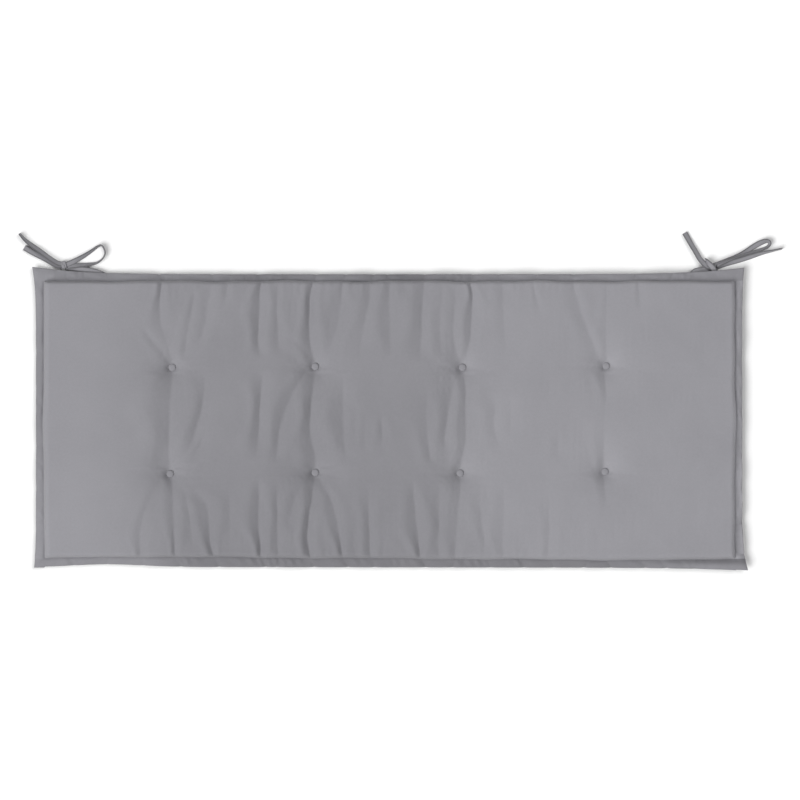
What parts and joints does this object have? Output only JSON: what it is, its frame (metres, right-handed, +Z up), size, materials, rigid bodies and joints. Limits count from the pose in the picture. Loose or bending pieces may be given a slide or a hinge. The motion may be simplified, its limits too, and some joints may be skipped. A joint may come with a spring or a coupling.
{
  "type": "bench cushion",
  "caption": "Long flat bench cushion with buttoned, puckered top, a sewn flange round the edge and knotted fabric ties at the back corners.",
  "frame": {"origin": "middle of the pad's flat underside, on the surface the cushion lies on", "axes": "+X along the length of the bench, +Y towards the back edge with the ties, +Z up out of the buttoned face"},
  "size_m": [1.2879, 0.5704, 0.0345],
  "materials": {
    "cover_cloth": "matt plain-woven cloth in a cool mid grey",
    "button_cloth": "the same cloth stretched over a domed button",
    "tie_cloth": "the same cloth folded and sewn into a flat strip"
  },
  "bodies": {
    "root": {"pad": "cover_cloth", "button_back_1": "button_cloth", "button_back_2": "button_cloth", "button_back_3": "button_cloth", "button_back_4": "button_cloth", "button_front_1": "button_cloth", "button_front_2": "button_cloth", "button_front_3": "button_cloth", "button_front_4": "button_cloth", "tie_left": "tie_cloth", "tie_right": "tie_cloth"}
  },
  "joints": []
}
